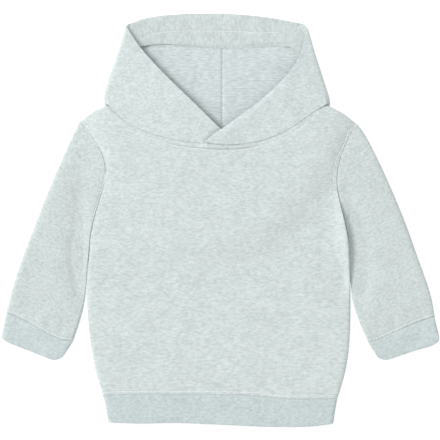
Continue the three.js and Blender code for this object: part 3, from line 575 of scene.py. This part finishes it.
# Hood: two panels of the fleece, joined by a seam over the middle of the head and crossed at the
# centre front, the right one on top. Inside, the rows of loops of its back face show as streaks.
HOOD_CREASES = {  # the hood's halves turn and roll at the neck, at the opening's rim and in the flaps
    "left": (
        ((-112, 178, 0.0, 8), (-100, 160, 0.5, 10), (-92, 138, 0.0, 9)),
        ((-84, 118, 0.0, 7), (-66, 112, 0.45, 8), (-44, 104, 0.0, 7)),
    ),
    "right": (
        ((-20, 89, 0.9, 5), (6, 86, 1.1, 5), (26, 87.5, 0.9, 5), (40, 90, 0.0, 5)),
        ((96, 204, 0.0, 4), (82, 183, 1.2, 4.5), (69, 160.5, 1.4, 5), (43, 137.5, 1.6, 5),
         (22, 121.5, 1.5, 5), (4, 105.5, 0.8, 4)),
        ((104, 176, 0.0, 8), (92, 158, 0.5, 10), (84, 136, 0.0, 9)),
        ((76, 120, 0.0, 7), (58, 112, 0.4, 8), (36, 104, 0.0, 7)),
    ),
}
HOOD_TIP = ((-108, 224, 0.8, -1.0, 3.5),)  # the left half's upper corner is drawn in a little
NAPE_LAYER = (2.35, 5.2)  # mm: heights between which the hood's hidden near layer lies
CROSSING = ((-17.5, 89.5), (-12, 94.5), (-6, 99.5), (0.5, 104.5))  # just outside the right half's rim
CROSSING_DEEP = (1.5, 1.4)  # depth and width in mm of the line between the crossed halves
NECK_EASE = {"left": 0.55, "right": 0.8}  # mm by which the edge sewn to the neck is let out
MIDDLE_EASE = 0.17  # mm: closes the seam over the middle of the head
MIDDLE_X, MIDDLE_WIDE, MIDDLE_DEEP = 2.3, 1.1, 0.45  # mm, mm, and the share of the cloth's height there
INSIDE_BELOW = 2.6  # mm: below this the cloth that looks up is the inside of the far wall
HOOD_PALE, HOOD_DARK = "#d6dfdf", "#bbc4c3"
BACK_FACE_PALE, BACK_FACE_DARK = "#d4dddd", "#b3bcbc"
BACK_FLECK = (6.5 * MM, 1.8 * MM)
LOOPS = (3.0 * MM, 0.15)  # pitch, about three times the real one to show, and strength of the loop rows
# The fleece's face again, with its courses slack over the head, so that the flecks look rounder
hood_fleece = knit("hood_sweatshirt_fleece", HOOD_PALE, HOOD_DARK, LOOSE_FLECK)
# Its back face: floats of dark yarn lie between the loop rows and read as long grey streaks
hood_inside = knit("fleece_back_face", BACK_FACE_PALE, BACK_FACE_DARK, BACK_FLECK, contrast=0.46,
                   courses=LOOPS, bump=0.3)
for side in ("left", "right"):
    hood = shell(f"hood_{side}_half", f"hood_{side}", 3, hood_fleece, (NECK_SEAM,), NECK_EASE[side],
                 MIDDLE_EASE)
    hood.data.materials.append(hood_inside)
    for face in hood.data.polygons:
        face.material_index = int(face.normal.z > UPWARD and face.center.z < INSIDE_BELOW * MM)
    nudge(hood, NAPE_DROP, NAPE_LAYER)
    # The middle seam's allowance is pressed open, so the far wall dips along it
    places = np.array([v.co for v in hood.data.vertices]) / MM
    sinks = MIDDLE_DEEP * np.exp(-((places[:, 0] - MIDDLE_X) / MIDDLE_WIDE) ** 2)
    places[:, 2] *= 1 - sinks * (places[:, 2] < INSIDE_BELOW)
    hood.data.vertices.foreach_set("co", (places * MM).ravel())
    creases = list(HOOD_CREASES[side])
    if side == "left":
        nudge(hood, HOOD_TIP)
        refine(hood, [CROSSING], STITCH_ZONE)
        creases.append(groove(CROSSING, *CROSSING_DEEP))
    relax(hood, creases)
    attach(hood, "root")
    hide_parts(f"hood_{side}")

# Hood facing: one strip of the fleece with its courses turned upright, sewn round the rim's inside
# and caught down by a row of stitches halfway.
FACING_PALE, FACING_DARK = "#d1dbd9", "#b8c0bf"
FACING_TURN = math.radians(90)
# Cut across, the fleece shows its flecks upright; the strip is coloured a shade darker than the front panel
facing_fleece = knit("facing_sweatshirt_fleece", FACING_PALE, FACING_DARK, LOOSE_FLECK, FACING_TURN)
FACING_ROW = (
    (-87.7, 209.3), (-76.4, 212.8), (-64.2, 214.7), (-49.0, 215.8), (-26.2, 216.2), (22.6, 215.2),
    (43.6, 213.9), (68.1, 214.7))
HOOD_TOP, FACING_WIDTH, FACING_LIES = 236.4, 40.0, 3.5  # mm: rim, strip, and its top on the far wall
facing = shell("hood_rim_facing", "hood_facing", 3, facing_fleece)
FACING_EDGE = (  # x, y, depth, width in mm: the cut edge sinks towards the far wall
    (-80, 198, 1.0, 2.4), (-49, 198.5, 1.1, 2.4), (-26, 197, 1.1, 2.4), (3, 196.6, 1.1, 2.4),
    (40, 198, 1.1, 2.4), (70, 200, 1.0, 2.4))
TURNS_DOWN = ((93, 7, 13), (-93, 26, 4.2))  # x, width and drop in mm: the strip turns at both folds
places = np.array([v.co for v in facing.data.vertices])
lower = (HOOD_TOP - places[:, 1] / MM) / FACING_WIDTH * (places[:, 2] < FACING_LIES * MM)
drop = sum(fall * np.exp(-((places[:, 0] / MM - x) / width) ** 2) for x, width, fall in TURNS_DOWN)
places[:, 1] -= drop * lower * MM
facing.data.vertices.foreach_set("co", places.ravel())
refine(facing, [FACING_ROW], STITCH_ZONE)
# At the left fold the strip lifts off the far wall and goes up to the flap
FACING_RISE = ((-120, 232, -1.5, 14), (-110, 216, -4.0, 16), (-98, 200, -3.4, 14), (-92, 190, -2.0, 12))
FAR_WALL_TOP, OFF_FAR_WALL = 2.2, 2.6  # mm: what touches the hood's far wall, and what is clear of it
relax(facing, [groove(FACING_ROW, *PULL), FACING_EDGE, FACING_RISE], over=FAR_WALL_TOP, free=OFF_FAR_WALL)
facing_row = topstitch("facing_topstitch", facing, FACING_ROW)
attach(facing, "root")
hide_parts("hood_facing")
